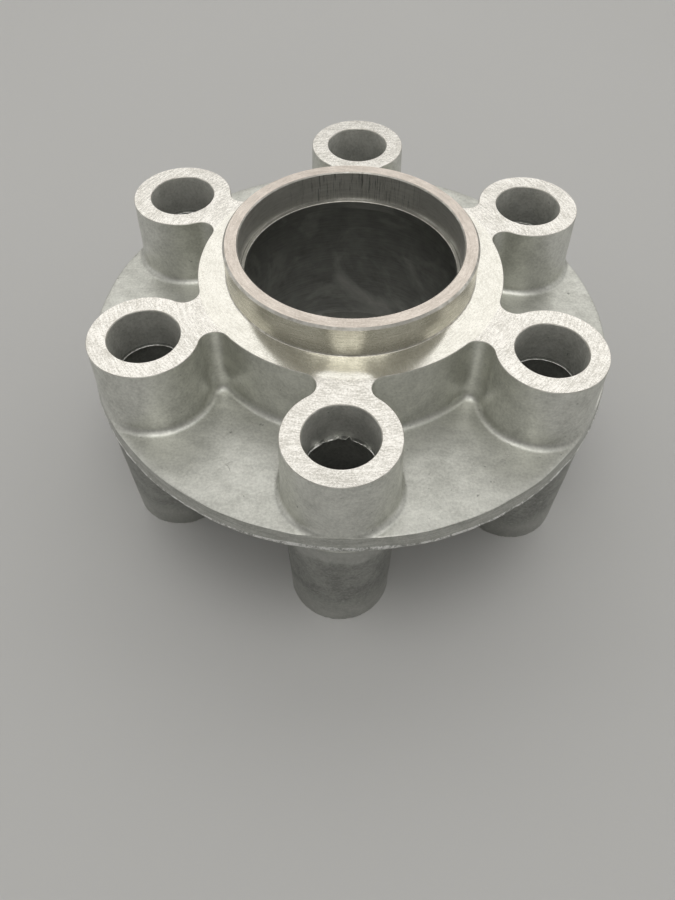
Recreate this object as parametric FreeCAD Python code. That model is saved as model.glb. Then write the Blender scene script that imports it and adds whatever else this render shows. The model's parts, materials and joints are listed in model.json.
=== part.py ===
"""Six-post hub casting: a flanged disc with a turned pilot ring and six through-bored bosses.

The hub is one die casting in aluminium.  It is written out as its working regions, which meet
face to face: the pilot ring, the bearing barrel with its web, the six bolt bosses above the
parting line, the six legs below it and the six fields of the flange between the bosses.

Units are millimetres.  The hub axis is Z, the feet stand on Z = 0, and boss 1 lies on -Y.
"""
import FreeCAD, Part
import math
import os

# ---------------------------------------------------------------- driving dimensions
bolt_circle_r = 46.25        # radius of the circle through the six boss axes
boss_count = 6
first_boss_deg = -90.0

web_plane_z = 53.0           # machined face that the web and the boss tops share
ring_height = 7.0            # pilot ring above that face
flange_top_z = 37.0
parting_z = 33.5             # where the two halves of the die met
flange_bottom_z = 33.0
pad_bottom_z = 15.0          # lower end of the barrel and of the necks that tie the legs to it

# turned features
pilot_r = 26.6               # outside of the pilot ring
seal_seat_r = 23.5           # bore of the pilot ring
lip_r = 22.7                 # thin lip between the seal seat and the bearing seat
lip_thickness = 2.0
bearing_seat_r = 26.0
bearing_seat_mouth = 0.7     # chamfer at the open end of the bearing seat
ring_chamfer = 0.45          # outer edge of the pilot ring
seal_seat_chamfer = 0.25
bolt_hole_r = 7.2
hole_chamfer = 0.2

# cast walls
web_r = 32.5                 # web and barrel wall at the machined face
boss_r = 11.2                # boss wall at the machined face
neck_fillet_r = 3.1          # upright corner between a boss and the web
leg_foot_r = 11.0
leg_root_r = 11.73           # leg wall at the underside of the flange
pad_r = 32.0                 # barrel wall at its lower end
pad_neck_fillet_r = 3.4
wall_draft_deg = 2.0
root_fillet_r = 1.6          # where every cast wall runs into the flange
rim_top_r = 58.0
rim_parting_r = 58.55
rim_bottom_r = 58.35
rim_flash_thickness = 0.7    # height of the trimmed land left at the parting line

# surfaces along which the casting is divided into regions
boss_region_r = 12.6
boss_region_half_width = 10.0    # of the piece of flange that lies outside each boss
barrel_region_r = 34.3
neck_region_half_width = 8.0
neck_region_outer_r = 39.0

# ---------------------------------------------------------------- derived values
ring_top_z = web_plane_z + ring_height
lip_bottom_z = web_plane_z - lip_thickness
draft = math.tan(math.radians(wall_draft_deg))
boss_angles = [first_boss_deg + 360.0 / boss_count * i for i in range(boss_count)]
overlap = 1.0                # how far solids that are fused run into each other
beyond = 5.0                 # how far a cutter runs past the face that it cuts
oversize_r = 75.0            # flange blank, before the rim is trimmed to its profile
Z_AXIS = FreeCAD.Vector(0, 0, 1)


def polar(radius, degrees, z=0.0, centre=(0.0, 0.0)):
    """Point at a radius and angle about a centre."""
    angle = math.radians(degrees)
    return FreeCAD.Vector(centre[0] + radius * math.cos(angle), centre[1] + radius * math.sin(angle), z)


def boss_centre(degrees, z=0.0):
    return polar(bolt_circle_r, degrees, z)


def cylinder(radius, z_low, z_high, at=(0.0, 0.0)):
    return Part.makeCylinder(radius, z_high - z_low, FreeCAD.Vector(at[0], at[1], z_low), Z_AXIS)


def cone(r_low, r_high, z_low, z_high, at=(0.0, 0.0)):
    if abs(r_low - r_high) < 1e-9:
        return cylinder(r_low, z_low, z_high, at)
    return Part.makeCone(r_low, r_high, z_high - z_low, FreeCAD.Vector(at[0], at[1], z_low), Z_AXIS)


def lathe(profile):
    """Solid of revolution about Z from (radius, z) points."""
    points = [FreeCAD.Vector(r, 0, z) for r, z in profile]
    face = Part.Face(Part.makePolygon(points + points[:1]))
    return face.revolve(FreeCAD.Vector(0, 0, 0), Z_AXIS, 360)


def fuse_all(shapes):
    return shapes[0].multiFuse(shapes[1:]).removeSplitter()


# ---------------------------------------------------------------- scalloped outline
def outline_wire(hub_r, lobe_r, corner_r, z):
    """Hub circle with six round lobes, joined by corner arcs that are tangent to both."""
    hub_side = hub_r + corner_r
    lobe_side = lobe_r + corner_r
    along = (hub_side**2 - lobe_side**2 + bolt_circle_r**2) / (2.0 * bolt_circle_r)
    across = math.sqrt(hub_side**2 - along**2)
    corner_deg = math.degrees(math.atan2(across, along))
    pitch = 360.0 / boss_count
    edges = []
    for degrees in boss_angles:
        lobe = boss_centre(degrees, z)
        corners = [polar(hub_side, degrees + side * corner_deg, z) for side in (-1, 1)]
        hub_points = [polar(hub_r, degrees + side * corner_deg, z) for side in (-1, 1)]
        lobe_points = [lobe + (corner - lobe) * (lobe_r / lobe_side) for corner in corners]
        corner_mids = []
        for corner, hub_point, lobe_point in zip(corners, hub_points, lobe_points):
            chord_mid = (hub_point + lobe_point) * 0.5
            corner_mids.append(corner + (chord_mid - corner).normalize() * corner_r)
        lobe_far = polar(bolt_circle_r + lobe_r, degrees, z)
        hub_far = polar(hub_r, degrees + pitch / 2.0, z)
        next_hub = polar(hub_r, degrees + pitch - corner_deg, z)
        edges.append(Part.Arc(hub_points[0], corner_mids[0], lobe_points[0]).toShape())
        edges.append(Part.Arc(lobe_points[0], lobe_far, lobe_points[1]).toShape())
        edges.append(Part.Arc(lobe_points[1], corner_mids[1], hub_points[1]).toShape())
        edges.append(Part.Arc(hub_points[1], hub_far, next_hub).toShape())
    return Part.Wire(Part.__sortEdges__(edges))


def drafted_block(hub_r, lobe_r, corner_r, z_face, z_root):
    """Scalloped block whose walls lean out by the draft from its face to its root."""
    lean = draft * abs(z_root - z_face)
    face = outline_wire(hub_r, lobe_r, corner_r, z_face)
    root = outline_wire(hub_r + lean, lobe_r + lean, corner_r - lean, z_root)
    return Part.makeLoft([face, root], True, True)


def fillet_at(solid, z):
    """Round the inside edges that the cast walls make with the flange at a height."""
    chosen = []
    for edge in solid.Edges:
        box = edge.BoundBox
        level = abs(box.ZMin - z) < 1e-4 and abs(box.ZMax - z) < 1e-4
        inner = max(math.hypot(v.X, v.Y) for v in edge.Vertexes) < oversize_r - 1.0
        if level and inner:
            chosen.append(edge)
    return solid.makeFillet(root_fillet_r, chosen)


# ---------------------------------------------------------------- the casting
def upper_half():
    """Flange blank with the scalloped web and bosses, above the parting line."""
    blank = cylinder(oversize_r, parting_z, flange_top_z)
    block = drafted_block(web_r, boss_r, neck_fillet_r, web_plane_z, flange_top_z)
    foot = outline_wire(web_r, boss_r, neck_fillet_r, flange_top_z - overlap)
    plug = Part.Face(foot).extrude(FreeCAD.Vector(0, 0, overlap))
    return fillet_at(fuse_all([blank, block, plug]), flange_top_z)


def lower_half():
    """Flange blank with the bearing barrel and the legs, below the parting line."""
    blank = cylinder(oversize_r, flange_bottom_z, parting_z)
    leg_slope = (leg_root_r - leg_foot_r) / flange_bottom_z
    pad_lobe_r = leg_foot_r + leg_slope * pad_bottom_z
    lean = leg_slope * (flange_bottom_z - pad_bottom_z)
    pad_face = outline_wire(pad_r, pad_lobe_r, pad_neck_fillet_r, pad_bottom_z)
    pad_root = outline_wire(pad_r + lean, pad_lobe_r + lean, pad_neck_fillet_r - lean, flange_bottom_z)
    pad = Part.makeLoft([pad_face, pad_root], True, True)
    half = fillet_at(fuse_all([blank, pad]), flange_bottom_z)
    legs = []
    for degrees in boss_angles:
        centre = boss_centre(degrees)
        legs.append(cone(leg_foot_r, pad_lobe_r, 0.0, pad_bottom_z, (centre.x, centre.y)))
    return fuse_all([half] + legs)


def rim_envelope():
    """Everything inside the flange's rim: both halves are trimmed to it."""
    land = rim_flash_thickness / 2.0
    return lathe([
        (0.0, -beyond),
        (rim_bottom_r, -beyond),
        (rim_bottom_r, flange_bottom_z),
        (rim_parting_r, parting_z - land),
        (rim_parting_r, parting_z + land),
        (rim_top_r, flange_top_z),
        (rim_top_r, ring_top_z + beyond),
        (0.0, ring_top_z + beyond),
    ])


def pilot_ring_blank():
    return lathe([
        (lip_r, web_plane_z - overlap),
        (pilot_r, web_plane_z - overlap),
        (pilot_r, ring_top_z - ring_chamfer),
        (pilot_r - ring_chamfer, ring_top_z),
        (lip_r, ring_top_z),
    ])


def centre_bore():
    """Seal seat above, thin lip, bearing seat below, each with its lead-in."""
    return lathe([
        (0.0, pad_bottom_z - beyond),
        (bearing_seat_r + bearing_seat_mouth, pad_bottom_z - beyond),
        (bearing_seat_r + bearing_seat_mouth, pad_bottom_z),
        (bearing_seat_r, pad_bottom_z + bearing_seat_mouth),
        (bearing_seat_r, lip_bottom_z),
        (lip_r, lip_bottom_z),
        (lip_r, web_plane_z),
        (seal_seat_r, web_plane_z),
        (seal_seat_r, ring_top_z - seal_seat_chamfer),
        (seal_seat_r + seal_seat_chamfer, ring_top_z),
        (seal_seat_r + seal_seat_chamfer, ring_top_z + beyond),
        (0.0, ring_top_z + beyond),
    ])


def bolt_holes():
    cutters = []
    for degrees in boss_angles:
        centre = boss_centre(degrees)
        at = (centre.x, centre.y)
        bore = cylinder(bolt_hole_r, -beyond, web_plane_z + beyond, at)
        mouth = cone(bolt_hole_r, bolt_hole_r + hole_chamfer, web_plane_z - hole_chamfer, web_plane_z, at)
        cutters.append(bore.fuse(mouth))
    return cutters


def casting():
    body = fuse_all([upper_half(), lower_half()])
    body = body.common(rim_envelope())
    body = fuse_all([body, pilot_ring_blank()])
    return body.cut([centre_bore()] + bolt_holes())


# ---------------------------------------------------------------- regions
def radial_block(degrees, r_low, r_high, half_width, z_low, z_high):
    """Block that lies along a radius, between two distances from the hub axis."""
    corner = FreeCAD.Vector(r_low, -half_width, z_low)
    block = Part.makeBox(r_high - r_low, 2.0 * half_width, z_high - z_low, corner)
    block.rotate(FreeCAD.Vector(0, 0, 0), Z_AXIS, degrees)
    return block


def boss_columns(z_low, z_high):
    """Column round each boss, carried outwards past the rim."""
    columns = []
    for degrees in boss_angles:
        centre = boss_centre(degrees)
        column = cylinder(boss_region_r, z_low, z_high, (centre.x, centre.y))
        outer = radial_block(degrees, bolt_circle_r, oversize_r, boss_region_half_width, z_low, z_high)
        columns.append(column.fuse(outer))
    return columns


def barrel_region():
    """Barrel, with a short arm towards each boss, up to the machined face."""
    low = -beyond
    parts = [cylinder(barrel_region_r, low, web_plane_z)]
    for degrees in boss_angles:
        arm = radial_block(degrees, 0.0, neck_region_outer_r, neck_region_half_width, low, web_plane_z)
        parts.append(arm)
    return fuse_all(parts)


def angle_from_boss_1(solid):
    """Angle about the hub axis at which a solid lies, counted from boss 1."""
    centre = solid.CenterOfMass
    return (math.degrees(math.atan2(centre.y, centre.x)) - first_boss_deg) % 360.0


def half_space(z_low, z_high):
    side = 4.0 * oversize_r
    return Part.makeBox(side, side, z_high - z_low, FreeCAD.Vector(-side / 2, -side / 2, z_low))


def regions(body):
    """Node name to solid, for every region of the casting."""
    nodes = {}
    above = half_space(web_plane_z, ring_top_z + beyond)
    nodes["pilot_ring"] = body.common(above)
    lower_body = body.cut(above)
    uppers = boss_columns(parting_z, web_plane_z + beyond)
    lowers = boss_columns(-beyond, parting_z)
    for number, (upper, lower) in enumerate(zip(uppers, lowers), start=1):
        nodes["bolt_boss_%d" % number] = lower_body.common(upper)
        nodes["leg_%d" % number] = lower_body.common(lower)
    inside = lower_body.cut(boss_columns(-beyond, web_plane_z + beyond))
    barrel = barrel_region()
    nodes["bearing_barrel"] = inside.common(barrel)
    fields = sorted(inside.cut(barrel).Solids, key=angle_from_boss_1)
    for number, field in enumerate(fields, start=1):
        nodes["flange_field_%d" % number] = field
    return nodes


def main():
    os.makedirs("parts", exist_ok=True)
    body = casting()
    print("casting volume %.1f mm3, solids %d, valid %s" % (body.Volume, len(body.Solids), body.isValid()))
    total = 0.0
    for name, shape in regions(body).items():
        total += shape.Volume
        box = shape.BoundBox
        print("%-16s solids %d valid %s volume %9.1f z %.2f..%.2f" % (
            name, len(shape.Solids), shape.isValid(), shape.Volume, box.ZMin, box.ZMax))
        shape.exportStep(os.path.join("parts", name + ".step"))
    print("regions volume %.1f mm3" % total)


main()
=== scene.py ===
import json
import math

import bmesh
import bpy
import numpy as np
from mathutils import Matrix, Vector
from mathutils.geometry import delaunay_2d_cdt


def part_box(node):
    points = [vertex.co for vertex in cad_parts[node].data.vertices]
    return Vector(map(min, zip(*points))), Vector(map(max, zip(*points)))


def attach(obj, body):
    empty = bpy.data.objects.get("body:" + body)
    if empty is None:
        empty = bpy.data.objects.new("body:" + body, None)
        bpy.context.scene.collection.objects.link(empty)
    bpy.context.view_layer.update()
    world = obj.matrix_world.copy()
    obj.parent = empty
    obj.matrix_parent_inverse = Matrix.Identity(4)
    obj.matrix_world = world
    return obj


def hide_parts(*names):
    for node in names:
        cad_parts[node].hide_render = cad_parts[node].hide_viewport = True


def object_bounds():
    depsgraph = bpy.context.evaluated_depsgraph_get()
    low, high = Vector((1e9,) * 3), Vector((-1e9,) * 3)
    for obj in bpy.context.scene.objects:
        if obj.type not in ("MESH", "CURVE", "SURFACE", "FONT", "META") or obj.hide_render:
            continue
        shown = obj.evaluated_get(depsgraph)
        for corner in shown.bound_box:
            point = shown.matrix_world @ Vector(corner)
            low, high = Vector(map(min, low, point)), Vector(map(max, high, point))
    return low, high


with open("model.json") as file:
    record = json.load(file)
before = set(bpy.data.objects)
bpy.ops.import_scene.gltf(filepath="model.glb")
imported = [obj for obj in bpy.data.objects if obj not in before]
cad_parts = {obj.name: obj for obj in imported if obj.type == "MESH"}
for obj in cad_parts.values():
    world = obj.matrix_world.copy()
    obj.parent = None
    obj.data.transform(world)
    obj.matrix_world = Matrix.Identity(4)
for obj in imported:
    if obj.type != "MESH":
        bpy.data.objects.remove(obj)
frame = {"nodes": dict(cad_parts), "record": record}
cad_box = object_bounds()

# ---------------------------------------------------------------- sizes, in millimetres
MM = 0.001
mounts = {mount["name"]: mount["dims"] for mount in frame["record"]["mounts"]}


def height(node, corner):
    """Lowest (0) or highest (1) Z of a CAD node."""
    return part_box(node)[corner].z / MM


BOSSES = mounts["bolt_circle"]["count"]
FIRST_BOSS_DEG = -90.0
PITCH_DEG = 360.0 / BOSSES
BOLT_CIRCLE_R = mounts["bolt_circle"]["pcd_mm"] / 2.0
HOLE_R = mounts["bolt_circle"]["hole_r_mm"]
PILOT_R = mounts["pilot"]["r_mm"]
SEAL_R = mounts["seal_seat"]["r_mm"]
BEARING_R = mounts["bearing_seat"]["r_mm"]
RING_TOP_Z = height("pilot_ring", 1)
WEB_Z = height("bearing_barrel", 1)
BARREL_Z = height("bearing_barrel", 0)
PARTING_Z = height("leg_1", 1)
RIM_R = cad_box[1].x / MM

FLANGE_TOP_Z = 37.0
FLANGE_BOTTOM_Z = 33.0
WEB_R = 32.5
BOSS_R = 11.2
NECK_CORNER_R = 3.1
WALL_SLOPE = math.tan(math.radians(2.0))
BARREL_R = 32.0
LEG_NECK_R = 3.4
LEG_FOOT_R = 11.0
LEG_SLOPE = 0.73 / FLANGE_BOTTOM_Z
LEG_TOP_R = LEG_FOOT_R + LEG_SLOPE * BARREL_Z    # leg radius where it leaves the barrel
ROOT_FILLET_R = 1.6
RIM_TOP_R = 57.75             # inner limit of the small rounding along the rim's top edge
BOSS_RIM_R = 58.0             # the boss walls run out this far, over the rim
RIM_BOTTOM_R = 58.1
LIP_R = 22.7
LIP_THICKNESS = 2.0
RING_CHAMFER = 0.45
SEAL_CHAMFER = 0.25
BEARING_MOUTH = 0.7           # chamfer at the lower end of the bearing seat
HOLE_CHAMFER = 0.2
SMOOTH_CUT_R = 32.7           # inside this the facing cut is finer, almost a mirror
FACE_DISH = 0.20              # the facing cut runs this much deeper at the foot of the ring
EDGE_BREAK = 0.12             # sharp machined edges are broken by this much
RIM_MARGIN = 0.01             # the flash stays this far inside the rim's largest radius
LAND_INSET = 0.25             # root of the flash, inside the rim's largest radius
THICK_FLASH_DEG = 11.0        # the flash is heavier this far to each side of boss 1
BARREL_EDGE_R = 0.6           # soft cast edge round the lower end of the barrel
LEG_CORNER_R = 1.2            # where a leg runs into the lower end of the barrel
LOWER_CORE_STEP = 0.15        # the lower core is this much wider than the upper one
LOWER_CORE_SLOPE = 0.008      # and widens this much per millimetre towards the foot
EJECTOR_CIRCLE_R = 47.0
EJECTOR_PRINT = ((3.6, 0.0), (3.5, 0.18), (3.35, 0.22))    # radius and depth of each step of a print
SHARP_DEG = 28.0              # edges sharper than this aren't shaded smooth
CORE_MEET_Z = WEB_Z - 10.0    # where the two core pins met inside each boss

# samples along the pieces of one sixth of the outline
HUB_STEPS, CORNER_STEPS, FLANK_STEPS, FRONT_STEPS = 10, 12, 32, 36
INNER_STEPS = 24
RIM_ARC_STEPS = 150
CENTRE_STEPS = 320
HOLE_STEPS = 120
FIELD_SPACING = 1.5           # between the inner vertices of a flange field, in millimetres


# ---------------------------------------------------------------- small geometry helpers
def unit(degrees):
    angle = np.radians(degrees)
    return np.stack([np.cos(angle), np.sin(angle)], axis=-1)


def spin(points, degrees):
    """Turn 2-D or 3-D points about Z."""
    c, s = math.cos(math.radians(degrees)), math.sin(math.radians(degrees))
    turned = np.array(points, float)
    turned[..., 0] = c * points[..., 0] - s * points[..., 1]
    turned[..., 1] = s * points[..., 0] + c * points[..., 1]
    return turned


def lift(points, z):
    """2-D points to 3-D at height z, a number or one per point."""
    return np.column_stack([points, np.broadcast_to(z, len(points))])


def circle(radius, z, steps, centre=(0.0, 0.0)):
    flat = np.array(centre) + unit(np.arange(steps) * 360.0 / steps) * np.reshape(radius, (-1, 1))
    return lift(flat, z)


def smooth(value):
    value = np.clip(value, 0.0, 1.0)
    return value * value * (3.0 - 2.0 * value)


def ragged(steps, grain, seed):
    """Closed line of random heights, about -1 to 1, smoothed over grain steps."""
    noise = np.random.default_rng(seed).normal(size=steps)
    reach = np.minimum(np.arange(steps), steps - np.arange(steps))
    kernel = np.exp(-0.5 * (reach / grain) ** 2)
    line = np.real(np.fft.ifft(np.fft.fft(noise) * np.fft.fft(kernel)))
    return line / np.abs(line).max()


class Skin:
    """Collects vertices and faces, in millimetres, to be welded into one closed mesh."""

    def __init__(self):
        self.points, self.faces, self.finishes = [], [], []
        self.count = 0

    def add(self, points, faces, finish):
        self.points.append(np.asarray(points, float))
        self.faces.extend([tuple(int(i) + self.count for i in face) for face in faces])
        self.finishes.extend([finish] * len(faces))
        self.count += len(points)

    def grid(self, rows, finish, closed=True):
        """Quads between rows of equally many points."""
        rows = np.asarray(rows, float)
        high, wide = rows.shape[:2]
        index = np.arange(high * wide).reshape(high, wide)
        ahead = np.roll(index, -1, axis=1)
        last = wide if closed else wide - 1
        quads = np.stack([index[:-1], ahead[:-1], ahead[1:], index[1:]], axis=-1)[:, :last]
        self.add(rows.reshape(-1, 3), quads.reshape(-1, 4), finish)

    def fill(self, loops, finish, spacing=0.0):
        """Flat triangles between closed loops, which share one height."""
        z = loops[0][0, 2]
        flat = [loop[:, :2] for loop in loops]
        points = np.concatenate(flat + ([inner_grid(flat, spacing)] if spacing else []))
        edges, start = [], 0
        for loop in flat:
            edges += [(start + i, start + (i + 1) % len(loop)) for i in range(len(loop))]
            start += len(loop)
        result = delaunay_2d_cdt([tuple(p) for p in points], edges, [], 0, 1e-6)
        source = np.array([ids[0] for ids in result[3]])
        triangles = source[np.array(result[2])]
        keep = inside(points[triangles].mean(axis=1), flat)
        self.add(lift(points, z), triangles[keep], finish)


def inside(points, loops):
    """Even-odd test of points against closed loops."""
    crossings = np.zeros(len(points), int)
    for loop in loops:
        a, b = loop, np.roll(loop, -1, axis=0)
        for (ax, ay), (bx, by) in zip(a, b):
            if ay != by:
                spans = (points[:, 1] > min(ay, by)) & (points[:, 1] <= max(ay, by))
                x = ax + (points[:, 1] - ay) * (bx - ax) / (by - ay)
                crossings += spans & (points[:, 0] < x)
    return crossings % 2 == 1


def inner_grid(loops, spacing):
    """Staggered points inside the loops, clear of their edges."""
    low = np.min([loop.min(axis=0) for loop in loops], axis=0)
    high = np.max([loop.max(axis=0) for loop in loops], axis=0)
    xs = np.arange(low[0], high[0], spacing)
    ys = np.arange(low[1], high[1], spacing * 0.87)
    x, y = np.meshgrid(xs, ys)
    x[1::2] += spacing / 2.0
    points = np.column_stack([x.ravel(), y.ravel()])
    points = points[inside(points, loops)]
    edge = np.concatenate(loops)
    clear = np.array([np.hypot(*(edge - p).T).min() for p in points]) > spacing * 0.55
    return points[clear]


# ---------------------------------------------------------------- scalloped outline and its walls
class Outline:
    """Hub circle with round lobes and tangent corner arcs, sampled with its outward normals."""

    def __init__(self, hub_r, lobe_r, corner_r, reach, clip_r, front_clip_r):
        self.clip_r = clip_r
        hub_side, lobe_side = hub_r + corner_r, lobe_r + corner_r
        along = (hub_side**2 - lobe_side**2 + BOLT_CIRCLE_R**2) / (2.0 * BOLT_CIRCLE_R)
        across = math.sqrt(hub_side**2 - along**2)
        lobe = np.array([BOLT_CIRCLE_R, 0.0])
        turn = math.degrees(math.atan2(across, along))
        self.lobe_turn = math.degrees(math.atan2(across, along - BOLT_CIRCLE_R))
        root_r = lobe_r + reach
        front_cos = (clip_r**2 - BOLT_CIRCLE_R**2 - root_r**2) / (2.0 * BOLT_CIRCLE_R * root_r)
        front = math.degrees(math.acos(front_cos))
        hub_way = 180.0 - turn
        lobe_way = 180.0 - self.lobe_turn
        pieces = [
            arc((0.0, 0.0), hub_r, -PITCH_DEG / 2.0, -turn, HUB_STEPS),
            arc((along, -across), -corner_r, hub_way, lobe_way, CORNER_STEPS),
            arc(lobe, lobe_r, -self.lobe_turn, -front, FLANK_STEPS),
            arc(lobe, lobe_r, -front, front, FRONT_STEPS),
            arc(lobe, lobe_r, front, self.lobe_turn, FLANK_STEPS),
            arc((along, across), -corner_r, -lobe_way, -hub_way, CORNER_STEPS),
            arc((0.0, 0.0), hub_r, turn, PITCH_DEG / 2.0, HUB_STEPS),
        ]
        points = np.concatenate([piece[0] for piece in pieces])
        normals = np.concatenate([piece[1] for piece in pieces])
        turns = [FIRST_BOSS_DEG + PITCH_DEG * k for k in range(BOSSES)]
        self.points = np.concatenate([spin(points, t) for t in turns])
        self.normals = np.concatenate([spin(normals, t) for t in turns])
        self.sector = len(points)
        self.lobe_start = HUB_STEPS + CORNER_STEPS
        self.front_start = self.lobe_start + FLANK_STEPS
        self.front_end = self.front_start + FRONT_STEPS
        self.lobe_end = self.front_end + FLANK_STEPS
        clips = np.full(self.sector, clip_r)
        across_front = np.arange(FRONT_STEPS) / FRONT_STEPS
        rise = smooth(np.minimum(across_front, 1.0 - across_front) / 0.3)
        clips[self.front_start:self.front_end] += (front_clip_r - clip_r) * rise
        self.clips = np.tile(clips, BOSSES)
        ramp = np.arange(CORNER_STEPS) / CORNER_STEPS
        rounding = np.concatenate([
            np.ones(HUB_STEPS), 1.0 - smooth(ramp), np.zeros(self.lobe_end - self.lobe_start),
            smooth(ramp), np.ones(HUB_STEPS)])
        self.rounding = np.tile(rounding, BOSSES)

    def span(self, first, last):
        """Sample numbers from first to last, wrapping round the closed outline."""
        return np.arange(first, last + 1) % len(self.points)

    def walls(self, profile, edge_r=0.0):
        """Rows of wall points from the face to the root, stopped where they reach the rim."""
        offsets, heights, depths = profile
        run = np.concatenate([[0.0], np.cumsum(np.hypot(np.diff(offsets), np.diff(heights)))])
        outward = np.sum(self.points * self.normals, axis=1)
        gap = self.clips**2 - np.sum(self.points**2, axis=1)
        stop = np.minimum(offsets[-1], -outward + np.sqrt(outward**2 + gap))
        share = np.interp(stop, offsets, run) / run[-1]
        radius = edge_r * self.rounding
        rows = []
        for step in run:
            offset = np.interp(step * share, run, offsets)
            z = np.interp(step * share, run, heights)
            depth = np.interp(step * share, run, depths)
            short = np.clip(radius - depth, 0.0, None)
            offset = offset - (radius - np.sqrt(np.clip(radius**2 - short**2, 0.0, None)))
            rows.append(lift(self.points + self.normals * offset[:, None], z))
        return rows


def arc(centre, radius, start_deg, end_deg, steps):
    """Points and outward normals, without the last point. A negative radius is a hollow corner."""
    angles = start_deg + (end_deg - start_deg) * np.arange(steps) / steps
    directions = unit(angles)
    return np.array(centre) + directions * abs(radius), directions * np.sign(radius)


def wall_profile(face_z, root_z, slope, wall_rows, fillet_rows, edge):
    """Offsets, heights and depths of a drafted wall: extra rows at its edge, a fillet at its root."""
    tall = abs(root_z - face_z)
    lean = math.atan(slope)
    middle = tall - ROOT_FILLET_R
    middle_offset = slope * middle + ROOT_FILLET_R / math.cos(lean)
    swing = np.linspace(lean, math.pi / 2.0, fillet_rows + 1)
    wall = np.linspace(0.0, middle + ROOT_FILLET_R * math.sin(lean), wall_rows + 1)[:-1]
    wall = np.unique(np.concatenate([wall, edge]))
    depths = np.concatenate([wall, middle + ROOT_FILLET_R * np.sin(swing)])
    offsets = np.concatenate([slope * wall, middle_offset - ROOT_FILLET_R * np.cos(swing)])
    heights = face_z + np.sign(root_z - face_z) * depths
    return offsets, heights, depths


def reach_of(profile):
    """How far the wall's root lies outside its face."""
    return profile[0][-1]


# ---------------------------------------------------------------- the casting, surface by surface
def rim_line(outline, root_row, root_z):
    """Closed line on the rim's edge: along the flange, and up over the foot of each boss."""
    pieces = []
    for k in range(BOSSES):
        base = k * outline.sector
        front = root_row[outline.span(base + outline.front_start, base + outline.front_end)]
        ahead = root_row[(base + outline.sector + outline.front_start) % len(root_row)]
        start = math.atan2(front[-1][1], front[-1][0])
        sweep = (math.atan2(ahead[1], ahead[0]) - start) % (2.0 * math.pi)
        angles = np.degrees(start + sweep * np.arange(1, RIM_ARC_STEPS) / RIM_ARC_STEPS)
        pieces += [front, lift(unit(angles) * outline.clip_r, root_z)]
    return np.concatenate(pieces)


def pockets(skin, outline, root_row, line, root_z, finish, marks=False):
    """The flange between the bosses: six flat fields out to the rim's edge."""
    per_boss = FRONT_STEPS + RIM_ARC_STEPS
    for k in range(BOSSES):
        base = k * outline.sector
        inner = root_row[outline.span(base + outline.front_end, base + outline.sector + outline.front_start)]
        outer = line[np.arange(k * per_boss + FRONT_STEPS + 1, (k + 1) * per_boss) % len(line)]
        loops = [np.concatenate([inner, outer[::-1]])]
        if marks:
            loops.append(ejector_mark(skin, FIRST_BOSS_DEG + PITCH_DEG * (k + 0.5), root_z, finish))
        skin.fill(loops, finish, spacing=FIELD_SPACING)


def ejector_mark(skin, degrees, root_z, finish):
    """Shallow round print of an ejector pin. Returns its outline on the flange."""
    centre = unit(degrees) * EJECTOR_CIRCLE_R
    rows = [circle(r, root_z + sink, 40, centre) for r, sink in EJECTOR_PRINT]
    skin.grid(rows, finish)
    skin.fill([rows[-1]], finish)
    return rows[0]


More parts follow.
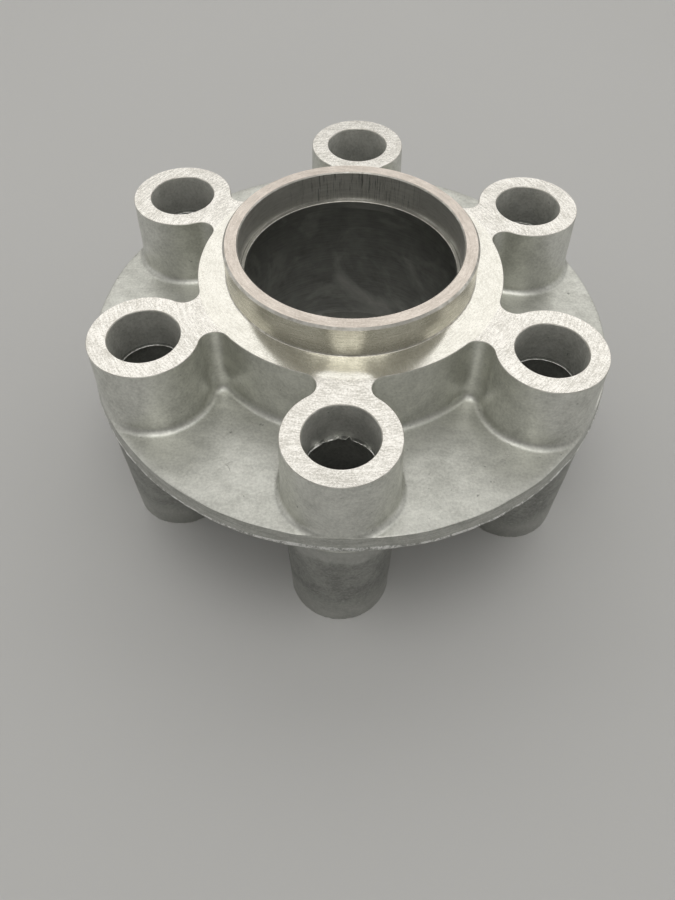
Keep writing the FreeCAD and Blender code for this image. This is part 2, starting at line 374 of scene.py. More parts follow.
def rim(skin, top_line, bottom_line):
    """Rim band with the torn land of flash along the parting line."""
    steps = len(top_line)
    top_turn = np.unwrap(np.arctan2(top_line[:, 1], top_line[:, 0]))
    bottom_turn = np.unwrap(np.arctan2(bottom_line[:, 1], bottom_line[:, 0]))
    rise = top_line[:, 2] - FLANGE_TOP_Z
    drop = FLANGE_BOTTOM_Z - bottom_line[:, 2]
    torn = [ragged(steps, grain, seed) for seed, grain in enumerate((1.2, 1.2, 1.6, 9.0, 30.0, 4.0))]
    from_boss_1 = np.abs((np.degrees(top_turn) - FIRST_BOSS_DEG + 180.0) % 360.0 - 180.0)
    thick = smooth((THICK_FLASH_DEG + 1.5 - from_boss_1) / 3.0)
    heavy = np.clip(0.55 + 0.45 * torn[4] + 0.4 * thick, 0.2, 1.0)
    fin = np.clip(0.04 + 0.12 * heavy + 0.22 * torn[0] * heavy, 0.0, 0.22)
    shoulder = PARTING_Z + 0.36 + 0.10 * torn[3] + 0.06 * torn[1] + 0.45 * thick
    nibble = 0.10 + 0.09 * torn[5] + 0.10 * torn[2]
    land = RIM_R - LAND_INSET
    rows = [
        # radius, height, share of rise, share of drop, way from top line to bottom line
        (RIM_TOP_R + 0.09, FLANGE_TOP_Z - 0.02, 0.72, 0.0, 0.0),
        (RIM_TOP_R + 0.17, FLANGE_TOP_Z - 0.08, 0.42, 0.0, 0.05),
        (RIM_TOP_R + 0.23, FLANGE_TOP_Z - 0.19, 0.18, 0.0, 0.1),
        (RIM_TOP_R + 0.28, FLANGE_TOP_Z - 0.42, 0.04, 0.0, 0.15),
        (RIM_TOP_R + 0.34, FLANGE_TOP_Z - 0.95, 0.0, 0.0, 0.2),
        (RIM_TOP_R + 0.44 + 0.02 * torn[5], PARTING_Z + 1.75, 0.0, 0.0, 0.3),
        (land - 0.02 + 0.02 * torn[2], shoulder + 0.16, 0.0, 0.0, 0.45),
        (land + 0.05 + 0.04 * torn[1], shoulder, 0.0, 0.0, 0.5),
        (land + fin, shoulder - 0.16, 0.0, 0.0, 0.55),
        (land + fin - 0.03 * nibble, PARTING_Z - 0.02 + nibble, 0.0, 0.0, 0.65),
        (land + 0.5 * fin - 0.3 * nibble, PARTING_Z - 0.26 + nibble, 0.0, 0.0, 0.75),
        (RIM_BOTTOM_R + 0.10, PARTING_Z - 0.40 + 0.5 * nibble, 0.0, 0.0, 0.85),
        (RIM_BOTTOM_R + 0.05, FLANGE_BOTTOM_Z + 0.04, 0.0, 0.5, 0.95),
    ]
    points = [top_line]
    overhang = np.hypot(top_line[:, 0], top_line[:, 1]) - RIM_TOP_R
    for radius, z, up, down, way in rows:
        turn = top_turn + (bottom_turn - top_turn) * way
        radius = radius + overhang * np.clip(1.0 - (radius - RIM_TOP_R) / 0.44, 0.0, 1.0)
        flat = np.column_stack([np.cos(turn), np.sin(turn)]) * np.reshape(radius, (-1, 1))
        points.append(lift(flat, z + up * rise - down * drop))
    points.append(bottom_line)
    skin.grid(points[:3], "cast")
    skin.grid(points[2:8], "rim")
    skin.grid(points[7:13], "flash")
    skin.grid(points[12:], "cast")


def upper_walls(skin):
    """Web and boss walls above the flange. Returns the edge of the machined face and the rim line."""
    profile = wall_profile(WEB_Z, FLANGE_TOP_Z, WALL_SLOPE, 10, 9, edge=[EDGE_BREAK])
    profile[0][0] = -EDGE_BREAK
    outline = Outline(WEB_R, BOSS_R, NECK_CORNER_R, reach_of(profile), RIM_TOP_R, BOSS_RIM_R)
    rows = outline.walls(profile)
    line = rim_line(outline, rows[-1], FLANGE_TOP_Z)
    skin.grid(rows[:2], "edge")
    skin.grid(rows[1:], "cast")
    pockets(skin, outline, rows[-1], line, FLANGE_TOP_Z, "cast")
    return rows[0], line


def lower_walls(skin):
    """Barrel and leg walls below the flange, and the legs down to their feet.

    Returns the outline of the barrel's lower end and the rim line.
    """
    edge = BARREL_EDGE_R * np.array([0.05, 0.2, 0.5, 1.0])
    profile = wall_profile(BARREL_Z, FLANGE_BOTTOM_Z, LEG_SLOPE, 5, 9, edge=edge)
    outline = Outline(BARREL_R, LEG_TOP_R, LEG_NECK_R, reach_of(profile), RIM_BOTTOM_R, RIM_BOTTOM_R)
    rows = outline.walls(profile, BARREL_EDGE_R)
    line = rim_line(outline, rows[-1], FLANGE_BOTTOM_Z)
    # The walls below the flange take the darker leg finish: painted shade.
    skin.grid(rows, "leg")
    pockets(skin, outline, rows[-1], line, FLANGE_BOTTOM_Z, "cast", marks=True)
    barrel_end = []
    for k in range(BOSSES):
        base = k * outline.sector
        barrel_end.append(rows[0][outline.span(base, base + outline.lobe_start - 1)])
        barrel_end.append(leg(skin, outline, k, rows[0]))
        barrel_end.append(rows[0][outline.span(base + outline.lobe_end + 1, base + outline.sector - 1)])
    return np.concatenate(barrel_end), line


def leg(skin, outline, k, face_row):
    """One leg from the barrel's lower end to its foot. Returns its share of that end's outline."""
    degrees = FIRST_BOSS_DEG + PITCH_DEG * k
    centre = unit(degrees) * BOLT_CIRCLE_R
    base = k * outline.sector
    outer = face_row[outline.span(base + outline.lobe_start, base + outline.lobe_end)][:, :2]
    share = np.arange(1, INNER_STEPS) / INNER_STEPS
    inner_deg = degrees + outline.lobe_turn + (360.0 - 2.0 * outline.lobe_turn) * share
    ways = np.concatenate([(outer - centre) / LEG_TOP_R, unit(inner_deg)])
    corner = np.concatenate([np.zeros(len(outer)), LEG_CORNER_R * np.sin(np.pi * share) ** 2])
    depths = np.concatenate([[0.0, 0.04, 0.12, 0.3, 0.6, 1.2, 2.4], np.linspace(4.0, BARREL_Z - 0.5, 9)])
    rows = []
    for depth in depths:
        short = np.clip(corner - depth, 0.0, None)
        spread = corner - np.sqrt(np.clip(corner**2 - short**2, 0.0, None))
        radius = LEG_TOP_R - LEG_SLOPE * depth + spread
        rows.append(lift(centre + ways * radius[:, None], BARREL_Z - depth))
    burr = ragged(len(ways), 1.0, 40 + k)
    for inset, z in ((0.0, 0.42), (0.06, 0.12), (0.34, 0.0)):
        radius = LEG_FOOT_R - inset + 0.06 * burr * (inset < 0.3)
        rows.append(lift(centre + ways * np.reshape(radius, (-1, 1)), z))
    skin.grid(rows[:-2], "leg")
    skin.grid(rows[-3:], "flash")
    hole = bolt_hole(skin, k, centre)
    skin.fill([rows[-1], hole], "foot")
    inner = rows[0][len(outer):]
    return np.concatenate([rows[0][:1], inner[::-1], rows[0][len(outer) - 1:len(outer)]])


def bolt_hole(skin, k, centre):
    """Through hole of a boss: mouth, upper core, skin of flash where the cores met, lower core."""
    torn = ragged(HOLE_STEPS, 0.9, 60 + k)
    slow = ragged(HOLE_STEPS, 7.0, 80 + k)
    from_axis = np.arange(HOLE_STEPS) * 360.0 / HOLE_STEPS - (FIRST_BOSS_DEG + PITCH_DEG * k + 180.0)
    broken = 0.10 + 0.90 * smooth(2.0 * np.cos(np.radians(from_axis)) - 0.9) if k == 0 else 0.10
    flash_in = np.clip(0.22 + broken * (0.15 + 1.1 * torn + 0.35 * slow), 0.16, 0.8)
    level = CORE_MEET_Z + broken * (1.5 * np.clip(torn, -0.2, 1.0) + 0.35 * slow)
    mouth = HOLE_R + HOLE_CHAMFER
    rows = [(mouth, WEB_Z), (mouth - 0.07, WEB_Z - 0.05), (HOLE_R + 0.02, WEB_Z - HOLE_CHAMFER)]
    rows += [(HOLE_R, z) for z in np.linspace(WEB_Z - 0.5, CORE_MEET_Z + 1.2, 5)]
    rows += [
        (HOLE_R, CORE_MEET_Z + 0.75),
        (HOLE_R - 0.5 * flash_in, level + 0.16),
        (HOLE_R - flash_in, level + 0.10),
        (HOLE_R - flash_in, level - 0.08),
        (HOLE_R - 0.3 * flash_in, level - 0.20),
        (HOLE_R + LOWER_CORE_STEP, CORE_MEET_Z - 0.75),
    ]
    for z in np.linspace(CORE_MEET_Z - 2.0, 0.5, 8):
        rows.append((HOLE_R + LOWER_CORE_STEP + LOWER_CORE_SLOPE * (CORE_MEET_Z - z), z))
    rows += [(HOLE_R + 0.56, 0.2), (HOLE_R + 0.75, 0.0)]
    points = [circle(radius, z, HOLE_STEPS, centre) for radius, z in rows]
    skin.grid(points[:3], "edge")
    # The upper core takes the paler core finish: painted light.
    skin.grid(points[2:9], "core")
    # From just above the flash down, the hole takes the darker deep finish: painted shade.
    skin.grid(points[8:10], "deep")
    skin.grid(points[9:11], "tear")
    skin.grid(points[10:], "deep")
    return points[-1]


def centre_turning(skin):
    """Pilot ring and the stepped bore. Returns its first loop, on the machined face, and its last."""
    stations = [
        ("edge", [(PILOT_R + 0.22, WEB_Z), (PILOT_R + 0.07, WEB_Z + 0.07), (PILOT_R, WEB_Z + 0.24)]),
        ("pilot", [(PILOT_R, WEB_Z + 2.2), (PILOT_R, WEB_Z + 4.4), (PILOT_R, RING_TOP_Z - RING_CHAMFER)]),
        ("edge", [(PILOT_R - RING_CHAMFER, RING_TOP_Z)]),
        ("turned", [
            (PILOT_R - 1.1, RING_TOP_Z), (SEAL_R + 1.1, RING_TOP_Z), (SEAL_R + SEAL_CHAMFER, RING_TOP_Z)]),
        ("edge", [(SEAL_R, RING_TOP_Z - SEAL_CHAMFER)]),
        ("bored", [(SEAL_R, RING_TOP_Z - 2.6), (SEAL_R, WEB_Z + 2.2), (SEAL_R, WEB_Z + 0.2)]),
        ("lip", [(SEAL_R - 0.12, WEB_Z + 0.02), (LIP_R + 0.14, WEB_Z)]),
        ("edge", [(LIP_R, WEB_Z - 0.14)]),
        # The bearing seat takes the dark seat finish: painted shade.
        ("seat", [(LIP_R, WEB_Z - LIP_THICKNESS + 0.1), (LIP_R + 0.1, WEB_Z - LIP_THICKNESS)]),
        ("seat", [(BEARING_R - 0.3, WEB_Z - LIP_THICKNESS), (BEARING_R, WEB_Z - LIP_THICKNESS - 0.3)]),
        ("seat", [(BEARING_R, z) for z in np.linspace(WEB_Z - 6.0, BARREL_Z + BEARING_MOUTH, 8)]),
        ("edge", [(BEARING_R + BEARING_MOUTH, BARREL_Z)]),
    ]
    previous = None
    loops = []
    for finish, stops in stations:
        rows = [circle(radius, z, CENTRE_STEPS) for radius, z in stops]
        loops += rows
        skin.grid(([previous] if previous is not None else []) + rows, finish)
        previous = rows[-1]
    return loops[0], loops[-1]


def build_casting():
    skin = Skin()
    face_edge, top_line = upper_walls(skin)
    barrel_end, bottom_line = lower_walls(skin)
    rim(skin, top_line, bottom_line)
    ring_foot, seat_mouth = centre_turning(skin)
    mouths = [
        circle(HOLE_R + HOLE_CHAMFER, WEB_Z, HOLE_STEPS, unit(FIRST_BOSS_DEG + PITCH_DEG * k) * BOLT_CIRCLE_R)
        for k in range(BOSSES)]
    skin.fill([face_edge, ring_foot] + mouths, "faced")
    skin.fill([barrel_end, seat_mouth], "cast")
    return skin


# ---------------------------------------------------------------- cast unevenness
def uneven(points, wavelength, amplitude, seed, waves=18):
    """Smooth random displacement: a sum of waves in random directions."""
    rng = np.random.default_rng(seed)
    moved = np.zeros_like(points)
    for _ in range(waves):
        way = rng.normal(size=3)
        way *= 2.0 * math.pi / (np.linalg.norm(way) * wavelength * rng.uniform(0.7, 1.4))
        push = rng.normal(size=3)
        moved += np.sin(points @ way + rng.uniform(0.0, 2.0 * math.pi))[:, None] * push
    return moved * amplitude / math.sqrt(waves)


def cast_share(points):
    """1 on the as-cast skin, 0 on what was machined and on the feet."""
    radius = np.hypot(points[:, 0], points[:, 1])
    below_face = smooth((WEB_Z - 0.15 - points[:, 2]) / 1.5)
    off_bore = smooth((radius - BEARING_R - 1.2) / 1.5)
    above_feet = smooth((points[:, 2] - 0.4) / 1.5)
    return (below_face * off_bore * above_feet)[:, None]


def to_object(skin, name, materials):
    """The skin as one welded mesh object, in metres, with its unevenness and the dish of the faced web."""
    points = np.concatenate(skin.points)
    shift = uneven(points, 14.0, 0.045, 3) + uneven(points, 5.0, 0.022, 4)
    points = points + shift * cast_share(points)
    from_axis = np.hypot(points[:, 0], points[:, 1])
    points[:, :2] *= np.minimum(1.0, (RIM_R - RIM_MARGIN) / from_axis)[:, None]
    faced = (from_axis > PILOT_R + 0.05) & (from_axis < SMOOTH_CUT_R) & (abs(points[:, 2] - WEB_Z) < 0.2)
    points[:, 2] -= faced * np.interp(from_axis, (PILOT_R + 0.2, SMOOTH_CUT_R), (FACE_DISH, 0.0))
    points *= MM
    names = list(materials)
    mesh = bpy.data.meshes.new(name)
    mesh.from_pydata(points.tolist(), [], skin.faces)
    for material in materials.values():
        mesh.materials.append(material)
    mesh.polygons.foreach_set("material_index", [names.index(f) for f in skin.finishes])
    work = bmesh.new()
    work.from_mesh(mesh)
    bmesh.ops.remove_doubles(work, verts=work.verts, dist=2e-6)
    bmesh.ops.recalc_face_normals(work, faces=work.faces)
    work.to_mesh(mesh)
    open_edges = sum(1 for edge in work.edges if not edge.is_manifold)
    volume = work.calc_volume()
    work.free()
    mesh.polygons.foreach_set("use_smooth", [True] * len(mesh.polygons))
    mesh.set_sharp_from_angle(angle=math.radians(SHARP_DEG))
    print("casting: %d faces, %d open edges, %.1f cm3" % (len(mesh.polygons), open_edges, volume * 1e6))
    piece = bpy.data.objects.new(name, mesh)
    bpy.context.scene.collection.objects.link(piece)
    return piece


# ---------------------------------------------------------------- materials
class Shader:
    """Short way to write a node tree."""

    def __init__(self, name):
        self.material = bpy.data.materials.new(name)
        self.material.use_nodes = True
        self.tree = self.material.node_tree
        self.tree.nodes.clear()
        self.position = self.node("ShaderNodeTexCoord").outputs["Object"]

    def node(self, kind, inputs=(), **settings):
        made = self.tree.nodes.new(kind)
        for key, value in settings.items():
            setattr(made, key, value)
        for key, value in dict(inputs).items():
            if isinstance(value, bpy.types.NodeSocket):
                self.tree.links.new(value, made.inputs[key])
            else:
                made.inputs[key].default_value = value
        return made

    def math(self, operation, *values):
        return self.node("ShaderNodeMath", enumerate(values), operation=operation).outputs[0]

    def noise(self, scale, detail=4.0, roughness=0.5, vector=None, distortion=0.0):
        inputs = {"Vector": vector or self.position, "Scale": scale, "Detail": detail,
                  "Roughness": roughness, "Distortion": distortion}
        return self.node("ShaderNodeTexNoise", inputs).outputs["Fac"]

    def remap(self, value, low, high, new_low=0.0, new_high=1.0):
        inputs = {"Value": value, "From Min": low, "From Max": high, "To Min": new_low, "To Max": new_high}
        return self.node("ShaderNodeMapRange", inputs).outputs["Result"]

    def stretch(self, scale):
        made = self.node("ShaderNodeVectorMath", {0: self.position, 1: scale}, operation="MULTIPLY")
        return made.outputs[0]

    def mix(self, factor, first, second):
        made = self.node("ShaderNodeMix", data_type="RGBA")
        for socket, value in ((made.inputs[0], factor), (made.inputs[6], first), (made.inputs[7], second)):
            if isinstance(value, bpy.types.NodeSocket):
                self.tree.links.new(value, socket)
            else:
                socket.default_value = value if isinstance(value, float) else (*value, 1.0)
        return made.outputs[2]

    def hairlines(self, scale, width, share):
        """Thin crooked lines, in the patches where a second noise is above a share."""
        vein = self.math("ABSOLUTE", self.math("SUBTRACT", self.noise(scale, 3.0, 0.5, distortion=0.8), 0.5))
        patch = self.remap(self.noise(scale * 0.7, 1.0), share, share + 0.05)
        return self.math("MULTIPLY", self.remap(vein, 0.0, width, 1.0, 0.0), patch)

    def polar(self):
        """Distance from the hub axis, the direction from it with length 1, and the height."""
        flat = self.stretch((1.0, 1.0, 0.0))
        radius = self.node("ShaderNodeVectorMath", {0: flat}, operation="LENGTH").outputs["Value"]
        way = self.node("ShaderNodeVectorMath", {0: flat}, operation="NORMALIZE").outputs[0]
        return radius, way, self.node("ShaderNodeSeparateXYZ", {0: self.position}).outputs["Z"]

    def lathe(self, across, along):
        """Coordinates for marks that run round the axis: fine across them, slow along them."""
        radius, way, height = self.polar()
        step = self.math("MULTIPLY", self.math("ADD", radius, height), across)
        around = self.node("ShaderNodeVectorMath", {0: way, 1: (along, along, 0.0)}, operation="MULTIPLY")
        up = self.node("ShaderNodeCombineXYZ", {"Z": step}).outputs[0]
        return self.node("ShaderNodeVectorMath", {0: around.outputs[0], 1: up}, operation="ADD").outputs[0]

    def finish(self, colour, roughness, height, depth, metallic=1.0, spread=0.0):
        bump = self.node("ShaderNodeBump", {"Height": height, "Strength": 1.0, "Distance": depth})
        inputs = {"Base Color": colour, "Roughness": roughness, "Metallic": metallic,
                  "Normal": bump.outputs["Normal"]}
        if spread:
            inputs["Anisotropic"] = spread
            inputs["Anisotropic Rotation"] = 0.25
            inputs["Tangent"] = self.node("ShaderNodeTangent", direction_type="RADIAL", axis="Z").outputs[0]
        shader = self.node("ShaderNodeBsdfPrincipled", inputs)
        output = self.node("ShaderNodeOutputMaterial")
        self.tree.links.new(shader.outputs[0], output.inputs["Surface"])
        return self.material


def cast_metal(name, dark, light, rough, grain=1.0, painted_light_band=0.0):
    """As-cast aluminium: cloudy grey, fine sandy grain, flow marks, hairline scratches, few pits.

    Optionally it is painted paler just under the flange and near the feet: painted light for the bright band
    under the flange and for light on the shaded feet.
    """
    s = Shader(name)
    cloud = s.noise(120.0, 5.0, 0.60, distortion=0.4)
    fine = s.noise(1700.0, 4.0, 0.7)
    flow = s.noise(420.0, 5.0, 0.65, vector=s.stretch((0.5, 1.0, 0.7)))
    pits = s.remap(s.noise(900.0, 2.0, 0.4), 0.745, 0.775)
    specks = s.remap(s.noise(1300.0, 1.0, 0.3, vector=s.stretch((1.0, 1.0, 1.1))), 0.77, 0.80)
    hairs = s.hairlines(150.0, 0.008, 0.66)
    tone = s.math("ADD", s.math("MULTIPLY", cloud, 0.45), s.math("MULTIPLY", flow, 0.55))
    tone = s.math("ADD", tone, s.math("MULTIPLY", s.math("SUBTRACT", fine, 0.5), 0.7))
    colour = s.mix(s.remap(tone, 0.34, 0.66), dark, light)
    colour = s.mix(s.math("MULTIPLY", hairs, 0.22), colour, (0.16, 0.16, 0.15))
    colour = s.mix(s.math("MULTIPLY", pits, 0.45), colour, (0.10, 0.10, 0.095))
    colour = s.mix(s.math("MULTIPLY", specks, 0.4), colour, (0.85, 0.84, 0.80))
    # Painted light: a paler band just under the flange and paler feet, mixed into the colour.
    if painted_light_band:
        ragged_height = s.math("ADD", s.polar()[2], s.math("MULTIPLY", s.math("SUBTRACT", cloud, 0.5), 0.012))
        near_flange = s.remap(ragged_height, 0.0265, 0.0285)
        near_foot = s.remap(ragged_height, 0.005, 0.010, 1.0, 0.0)
        painted_light = s.math("MULTIPLY", s.math("MAXIMUM", near_flange, near_foot), painted_light_band)
        colour = s.mix(painted_light, colour, (0.72, 0.725, 0.69))
    wear = s.math("ADD", cloud, s.math("MULTIPLY", fine, 0.5))
    roughness = s.remap(wear, 0.5, 1.0, rough + 0.08, rough - 0.08)
    height = s.math("ADD", s.math("MULTIPLY", fine, 0.32 * grain), s.math("MULTIPLY", flow, 0.55))
    height = s.math("SUBTRACT", height, s.math("MULTIPLY", s.math("ADD", pits, hairs), 0.5))
    return s.finish(colour, roughness, height, 0.00006)


def groove_metal(name, dark, light, rough, pitch, depth, run=6.0, spread=0.0, grain=0.25, smooth_r=0.0):
    """Lathe-cut metal: uneven grooves round the axis, each fading in and out along its run.

    Inside smooth_r the cut is finer, and the surface is almost a mirror.
    """
    s = Shader(name)
    wide = s.noise(1.0, 4.0, 0.7, vector=s.lathe(1.0 / pitch, run))
    fine = s.noise(1.0, 3.0, 0.7, vector=s.lathe(3.1 / pitch, run * 2.2))
    grit = s.noise(2400.0, 3.0, 0.75)
    patch = s.noise(260.0, 4.0, 0.65)
    marks = s.math("ADD", s.math("MULTIPLY", wide, 0.5), s.math("MULTIPLY", fine, 0.5))
    tone = s.math("ADD", marks, s.math("MULTIPLY", s.math("SUBTRACT", patch, 0.5), 0.35))
    tone = s.math("ADD", tone, s.math("MULTIPLY", s.math("SUBTRACT", grit, 0.5), 2.0 * grain))
    colour = s.mix(s.remap(tone, 0.36, 0.62), dark, light)
    roughness = s.remap(tone, 0.35, 0.65, rough + 0.06, rough - 0.04)
    height = s.math("ADD", marks, s.math("MULTIPLY", grit, grain))
    if smooth_r:
        smooth_cut = s.remap(s.polar()[0], smooth_r - 0.0003, smooth_r + 0.0003, 1.0, 0.0)
        fine_tone = s.mix(s.remap(tone, 0.36, 0.62), (0.74, 0.725, 0.66), (0.95, 0.935, 0.87))
        colour = s.mix(smooth_cut, colour, fine_tone)
        roughness = s.math("MULTIPLY", roughness, s.remap(smooth_cut, 0.0, 1.0, 1.0, 0.5))
        height = s.math("MULTIPLY", height, s.remap(smooth_cut, 0.0, 1.0, 1.0, 0.25))
    return s.finish(colour, roughness, height, depth, spread=spread)


def bored_metal(name, dark, light, rough, scratch=0.0, pale_patches=0.0):
    """Bored wall: fine grooves round the axis, drag marks along it on the +Y side, paler cloudy patches."""
    s = Shader(name)
    radius, way, height = s.polar()
    grooves = s.noise(1.0, 3.0, 0.6, vector=s.lathe(2600.0, 5.0))
    fan = s.node("ShaderNodeVectorMath", {0: way, 1: (75.0, 75.0, 0.0)}, operation="MULTIPLY").outputs[0]
    tall = s.node("ShaderNodeCombineXYZ", {"Z": s.math("MULTIPLY", height, 110.0)}).outputs[0]
    drag = s.node("ShaderNodeVectorMath", {0: fan, 1: tall}, operation="ADD").outputs[0]
    side = s.remap(s.node("ShaderNodeSeparateXYZ", {0: way}).outputs["Y"], 0.72, 0.96)
    streaks = s.noise(1.0, 4.0, 0.8, vector=drag)
    bright = s.math("MULTIPLY", s.remap(streaks, 0.56, 0.68), s.math("MULTIPLY", side, scratch))
    black = s.math("MULTIPLY", s.remap(streaks, 0.46, 0.36), s.math("MULTIPLY", side, scratch))
    cloud = s.noise(220.0, 4.0, 0.6)
    tone = s.math("ADD", s.math("MULTIPLY", grooves, 0.5), s.math("MULTIPLY", cloud, 0.5))
    colour = s.mix(s.remap(tone, 0.38, 0.62), dark, light)
    colour = s.mix(bright, colour, (0.97, 0.96, 0.92))
    colour = s.mix(black, colour, (0.14, 0.14, 0.13))
    # Paler cloudy patches mixed into the colour.
    if pale_patches:
        pale_patch = s.remap(s.noise(48.0, 5.0, 0.62, distortion=1.4), 0.50, 0.72)
        colour = s.mix(s.math("MULTIPLY", pale_patch, pale_patches), colour, (0.80, 0.80, 0.76))
    return s.finish(colour, s.remap(cloud, 0.3, 0.7, rough + 0.06, rough - 0.05), grooves, 0.000012)


def torn_metal(name, dark, light):
    """Flash: crystalline and rough where it was trimmed or torn."""
    s = Shader(name)
    grit = s.noise(1500.0, 5.0, 0.8)
    chunk = s.noise(420.0, 3.0, 0.7)
    both = s.math("ADD", s.math("MULTIPLY", grit, 0.6), s.math("MULTIPLY", chunk, 0.5))
    colour = s.mix(s.remap(both, 0.48, 0.60), dark, light)
    return s.finish(colour, s.remap(both, 0.4, 0.7, 0.52, 0.36), both, 0.00026)


def edge_metal(name):
    """Broken edges of the machined faces, worn bright."""
    s = Shader(name)
    patch = s.noise(700.0, 3.0, 0.6)
    colour = s.mix(s.remap(patch, 0.35, 0.65), (0.58, 0.56, 0.51), (0.86, 0.84, 0.79))
    return s.finish(colour, s.remap(patch, 0.3, 0.7, 0.48, 0.36), patch, 0.00002)


def hub_materials():
    """Finish of each kind of surface: dark and light tone, roughness, and what else its builder takes."""
    return {
        "cast": cast_metal("cast_skin", (0.58, 0.585, 0.545), (0.82, 0.825, 0.775), 0.43, grain=0.8),
        # Painted shade: the legs and the walls below the flange are the same cast metal as the flange, given
        # darker tones for the shade under it; the band under the flange and the feet get painted light.
        "leg": cast_metal("shaded_leg_skin", (0.25, 0.255, 0.24), (0.42, 0.425, 0.40), 0.46, grain=1.2, painted_light_band=0.35),
        # Painted light: the upper core is the same cast skin as the flange, given paler tones than it to
        # brighten the shaded walls of the hole.
        "core": cast_metal("lightened_core_skin", (0.68, 0.685, 0.65), (1.0, 1.0, 0.97), 0.62, grain=1.2),
        # Painted shade: the lower core is the same cast skin, given darker tones for the shade deep in the
        # hole.
        "deep": cast_metal("shaded_deep_core", (0.44, 0.445, 0.43), (0.66, 0.665, 0.64), 0.62, grain=1.2),
        "rim": groove_metal("rim_wall", (0.40, 0.405, 0.375), (0.60, 0.605, 0.57), 0.42,
                            pitch=0.0007, depth=0.00003, run=9.0),
        "faced": groove_metal("faced_web", (0.64, 0.62, 0.57), (0.97, 0.95, 0.905), 0.20,
                              pitch=0.00052, depth=0.000017, run=14.0, spread=0.3, grain=0.35,
                              smooth_r=SMOOTH_CUT_R * MM),
        "turned": groove_metal("turned_ring", (0.57, 0.51, 0.455), (0.80, 0.73, 0.665), 0.25,
                               pitch=0.00035, depth=0.000010, spread=0.4),
        "pilot": groove_metal("pilot_wall", (0.62, 0.595, 0.50), (0.80, 0.78, 0.68), 0.27,
                              pitch=0.00040, depth=0.000002, spread=0.8),
        "lip": bored_metal("lip_ledge", (0.32, 0.315, 0.295), (0.48, 0.475, 0.445), 0.34),
        "bored": bored_metal("seal_wall", (0.78, 0.77, 0.72), (1.0, 0.99, 0.94), 0.46, scratch=0.8),
        # Painted shade: the bearing seat is bored like the seal wall, given dark tones so the shaded bore
        # reads dark.
        "seat": bored_metal("shaded_bearing_wall", (0.26, 0.265, 0.25), (0.36, 0.365, 0.345), 0.46, pale_patches=0.45),
        "edge": edge_metal("broken_edge"),
        "flash": torn_metal("trimmed_flash", (0.42, 0.425, 0.40), (1.0, 1.0, 0.98)),
        "tear": torn_metal("torn_skin", (0.55, 0.555, 0.53), (1.0, 1.0, 0.98)),
        "foot": groove_metal("foot_face", (0.50, 0.50, 0.48), (0.66, 0.66, 0.63), 0.42,
                             pitch=0.0005, depth=0.000012),
    }


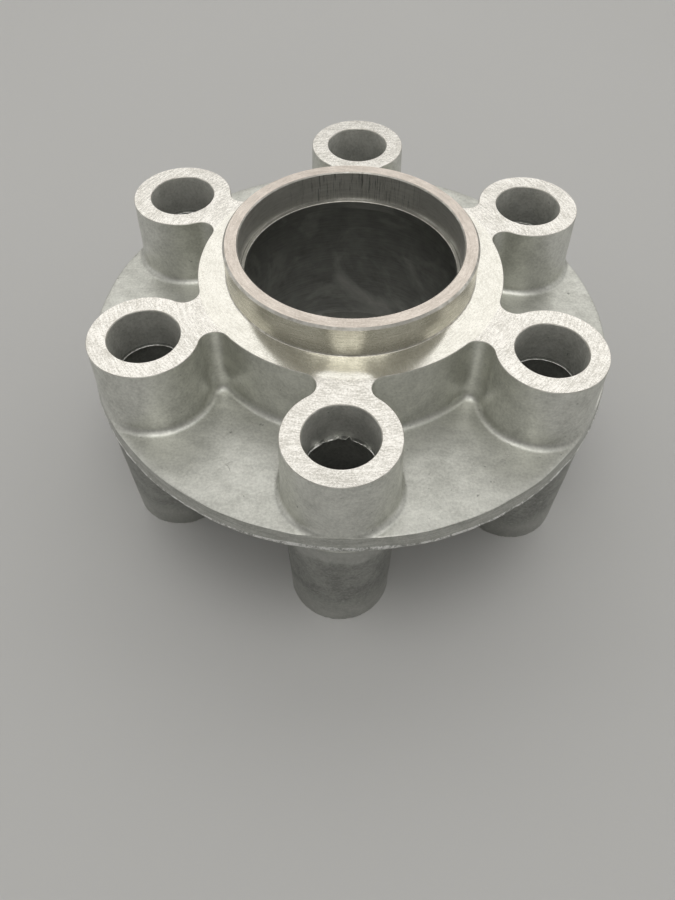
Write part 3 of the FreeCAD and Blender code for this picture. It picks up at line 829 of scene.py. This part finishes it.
# ---------------------------------------------------------------- stage, light and camera
def make_floor():
    """Round floor that curves up into a wall on every side."""
    mesh = bpy.data.meshes.new("floor")
    flat_r, bend, wall_top, steps = 1.5, 0.6, 1.3, 96
    profile = [(flat_r * share, 0.0) for share in (0.1, 0.3, 0.6, 0.85, 1.0)]
    for degrees in np.linspace(0.0, 90.0, 16)[1:]:
        angle = math.radians(degrees)
        profile.append((flat_r + bend * math.sin(angle), bend - bend * math.cos(angle)))
    profile.append((flat_r + bend, wall_top))
    points = [(0.0, 0.0, 0.0)]
    points += [(r * x, r * y, z) for r, z in profile for x, y in unit(np.arange(steps) * 360.0 / steps)]
    faces = [(0, 1 + j, 1 + (j + 1) % steps) for j in range(steps)]
    for i in range(len(profile) - 1):
        low, high = 1 + i * steps, 1 + (i + 1) * steps
        faces += [(low + j, high + j, high + (j + 1) % steps, low + (j + 1) % steps) for j in range(steps)]
    mesh.from_pydata([tuple(map(float, point)) for point in points], [], faces)
    mesh.polygons.foreach_set("use_smooth", [True] * len(mesh.polygons))
    s = Shader("floor_paint")
    tone = s.mix(s.noise(6.0, 3.0), (0.64, 0.64, 0.635), (0.67, 0.67, 0.665))
    mesh.materials.append(s.finish(tone, 0.75, s.noise(900.0, 2.0), 0.00002, metallic=0.0))
    floor = bpy.data.objects.new("floor", mesh)
    bpy.context.scene.collection.objects.link(floor)


def area_light(name, place, target, size, power, colour=(1.0, 1.0, 1.0)):
    data = bpy.data.lights.new(name, "AREA")
    data.shape = "RECTANGLE"
    data.size, data.size_y = size
    data.energy = power
    data.color = colour
    light = bpy.data.objects.new(name, data)
    way = np.array(target) - np.array(place)
    light.matrix_world = Matrix.Translation(place) @ look_along(way)
    bpy.context.scene.collection.objects.link(light)


def look_along(way):
    """Rotation whose -Z axis points along a direction."""
    return Vector(way).to_track_quat("-Z", "Y").to_matrix().to_4x4()


def make_light():
    world = bpy.data.worlds.new("studio")
    world.use_nodes = True
    background = world.node_tree.nodes["Background"]
    background.inputs["Color"].default_value = (1.0, 0.985, 0.95, 1.0)
    background.inputs["Strength"].default_value = 0.34
    bpy.context.scene.world = world
    target = (0.0, 0.0, 0.045)
    warm = (1.0, 0.985, 0.95)
    area_light("softbox_behind", (0.0, 0.62, 0.66), target, (1.4, 0.62), 2.0, warm)
    area_light("softbox_left", (-0.85, 0.10, 0.32), target, (1.0, 0.5), 0.8, warm)
    area_light("softbox_right", (0.85, 0.10, 0.32), target, (1.0, 0.5), 0.8, warm)
    area_light("softbox_front", (0.0, -0.55, 0.75), target, (0.30, 1.1), 0.70, warm)
    area_light("softbox_above", (0.0, -0.10, 0.95), target, (0.6, 0.5), 1.2, warm)


def make_camera():
    """Close, looking down at the hub from the side of boss 1."""
    data = bpy.data.cameras.new("camera")
    data.sensor_width = 36.0
    data.lens = 30.425
    data.clip_start = 0.01
    camera = bpy.data.objects.new("camera", data)
    camera.location = (0.00288, -0.12911, 0.15949)
    camera.rotation_euler = [math.radians(angle) for angle in (36.836, -0.142, 2.642)]
    bpy.context.scene.collection.objects.link(camera)
    bpy.context.scene.camera = camera
    bpy.context.scene.view_settings.view_transform = "Standard"


# ---------------------------------------------------------------- assembly
casting = to_object(build_casting(), "hub_casting", hub_materials())
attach(casting, "root")
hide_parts(*sorted(frame["nodes"]))
make_floor()
make_light()
make_camera()
